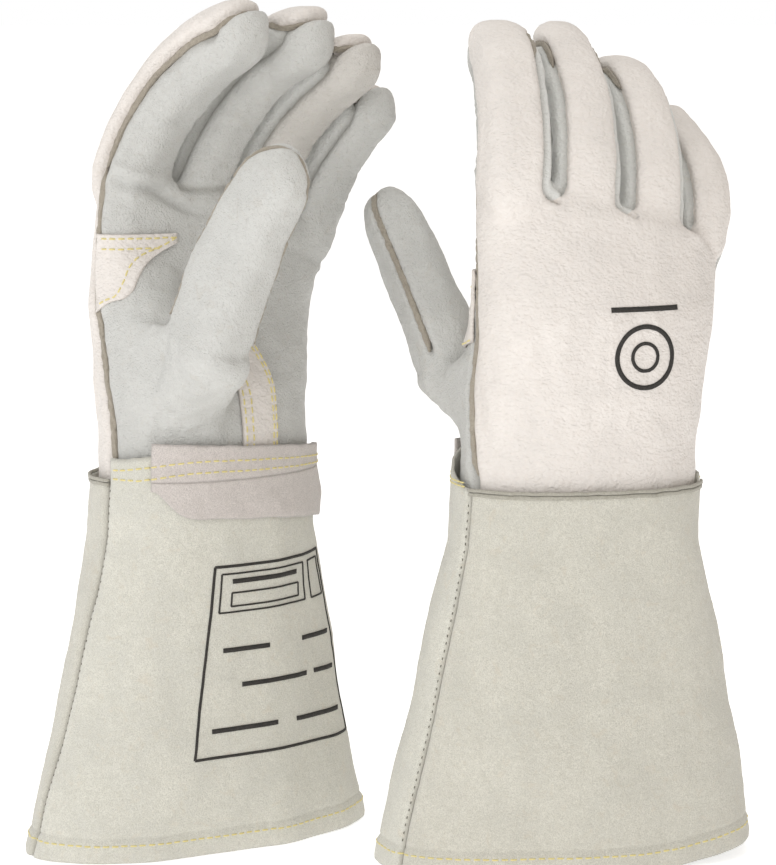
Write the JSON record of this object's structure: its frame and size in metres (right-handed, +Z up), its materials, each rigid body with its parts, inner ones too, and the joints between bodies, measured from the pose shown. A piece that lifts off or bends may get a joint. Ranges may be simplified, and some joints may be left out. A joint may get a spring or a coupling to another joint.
{
  "type": "pair of gauntlet welding gloves",
  "caption": "Leather welding gloves with long flared cuffs, standing upright; separate finger, thumb, palm, back, cuff and flap panels sewn with welts",
  "frame": {"origin": "middle of the pair's footprint box, on the surface that the cuffs stand on", "axes": "+Z up through the fingertips, +Y away from the viewer, +X from the left-hand glove to the right-hand glove"},
  "size_m": [0.3438, 0.1694, 0.3973],
  "materials": {
    "white_grain": "soft white grain leather with fine pebbling",
    "grey_grain": "smooth blue-grey grain leather",
    "split_leather": "fuzzy grey-beige split leather",
    "flap_suede": "fuzzy purple-grey split leather",
    "raw_edge": "raw cut edges of grey-beige leather"
  },
  "bodies": {
    "right_glove": {"right_cuff_back": "split_leather", "right_cuff_palm": "split_leather", "right_flap_sewn_edge": "flap_suede", "right_hand_back": "white_grain", "right_palm": "grey_grain", "right_palm_strap": "white_grain", "right_side_welt": "raw_edge", "right_thumb_base": "grey_grain", "right_thumb_crotch_patch": "white_grain", "right_wrist_welt": "raw_edge"},
    "left_glove": {"left_cuff_back": "split_leather", "left_cuff_palm": "split_leather", "left_flap_sewn_edge": "flap_suede", "left_hand_back": "white_grain", "left_palm": "grey_grain", "left_palm_strap": "white_grain", "left_side_welt": "raw_edge", "left_thumb_base": "grey_grain", "left_thumb_crotch_patch": "white_grain", "left_wrist_welt": "raw_edge"},
    "left_index": {"left_index_back": "white_grain", "left_index_fourchette": "grey_grain", "left_index_front": "grey_grain", "left_index_welt": "raw_edge"},
    "left_little": {"left_little_back": "white_grain", "left_little_fourchette": "grey_grain", "left_little_front": "grey_grain"},
    "left_middle": {"left_middle_back": "white_grain", "left_middle_front": "grey_grain", "left_middle_inner_fourchette": "grey_grain", "left_middle_outer_fourchette": "grey_grain"},
    "left_ring": {"left_ring_back": "white_grain", "left_ring_front": "grey_grain", "left_ring_inner_fourchette": "grey_grain", "left_ring_outer_fourchette": "grey_grain"},
    "left_thumb": {"left_thumb_inner": "grey_grain", "left_thumb_outer": "grey_grain", "left_thumb_welt": "raw_edge"},
    "left_wrist_flap": {"left_wrist_flap": "flap_suede"},
    "right_index": {"right_index_back": "white_grain", "right_index_fourchette": "grey_grain", "right_index_front": "grey_grain", "right_index_welt": "raw_edge"},
    "right_little": {"right_little_back": "white_grain", "right_little_fourchette": "grey_grain", "right_little_front": "grey_grain"},
    "right_middle": {"right_middle_back": "white_grain", "right_middle_front": "grey_grain", "right_middle_inner_fourchette": "grey_grain", "right_middle_outer_fourchette": "grey_grain"},
    "right_ring": {"right_ring_back": "white_grain", "right_ring_front": "grey_grain", "right_ring_inner_fourchette": "grey_grain", "right_ring_outer_fourchette": "grey_grain"},
    "right_thumb": {"right_thumb_inner": "grey_grain", "right_thumb_outer": "grey_grain", "right_thumb_welt": "raw_edge"},
    "right_wrist_flap": {"right_wrist_flap": "flap_suede"}
  },
  "joints": [
    {"name": "left_glove_lift", "type": "slide", "parent": "right_glove", "child": "left_glove", "axis": [0, 0, 1], "range_m": [0, 0.42]},
    {"name": "right_thumb_swing", "type": "hinge", "parent": "right_glove", "child": "right_thumb", "pos_m": [0.02893, 0.01128, 0.232], "axis": [-0.2603, 0.8873, -0.3808], "range_deg": [0, 18]},
    {"name": "right_index_bend", "type": "hinge", "parent": "right_glove", "child": "right_index", "pos_m": [0.05832, -0.04279, 0.31756], "axis": [-0.9848, -0.1736, 0], "range_deg": [-5, 35]},
    {"name": "right_middle_bend", "type": "hinge", "parent": "right_glove", "child": "right_middle", "pos_m": [0.08945, -0.03055, 0.30997], "axis": [-0.9744, -0.225, 0], "range_deg": [-5, 35]},
    {"name": "right_ring_bend", "type": "hinge", "parent": "right_glove", "child": "right_ring", "pos_m": [0.12094, -0.01517, 0.30215], "axis": [-0.9563, -0.2924, 0], "range_deg": [-5, 35]},
    {"name": "right_little_bend", "type": "hinge", "parent": "right_glove", "child": "right_little", "pos_m": [0.14898, 0.00204, 0.29501], "axis": [-0.9205, -0.3907, 0], "range_deg": [-5, 35]},
    {"name": "right_flap_lift", "type": "hinge", "parent": "right_glove", "child": "right_wrist_flap", "pos_m": [0.07406, 0.02021, 0.177], "axis": [0.9781, 0.2079, 0], "range_deg": [0, 70]},
    {"name": "left_thumb_swing", "type": "hinge", "parent": "left_glove", "child": "left_thumb", "pos_m": [-0.08061, -0.04949, 0.25], "axis": [-0.6023, 0.7015, 0.3808], "range_deg": [-16, 8]},
    {"name": "left_index_bend", "type": "hinge", "parent": "left_glove", "child": "left_index", "pos_m": [-0.12268, 0.01026, 0.31756], "axis": [0.682, 0.7314, 0], "range_deg": [-5, 30]},
    {"name": "left_middle_bend", "type": "hinge", "parent": "left_glove", "child": "left_middle", "pos_m": [-0.09546, 0.02971, 0.30997], "axis": [0.7193, 0.6947, 0], "range_deg": [-5, 30]},
    {"name": "left_ring_bend", "type": "hinge", "parent": "left_glove", "child": "left_ring", "pos_m": [-0.06541, 0.04774, 0.30215], "axis": [0.766, 0.6428, 0], "range_deg": [-5, 28]},
    {"name": "left_little_bend", "type": "hinge", "parent": "left_glove", "child": "left_little", "pos_m": [-0.03571, 0.06188, 0.29501], "axis": [0.829, 0.5592, 0], "range_deg": [-5, 27]},
    {"name": "left_flap_lift", "type": "hinge", "parent": "left_glove", "child": "left_wrist_flap", "pos_m": [-0.06127, -0.01085, 0.177], "axis": [-0.7071, -0.7071, 0], "range_deg": [0, 70]}
  ]
}
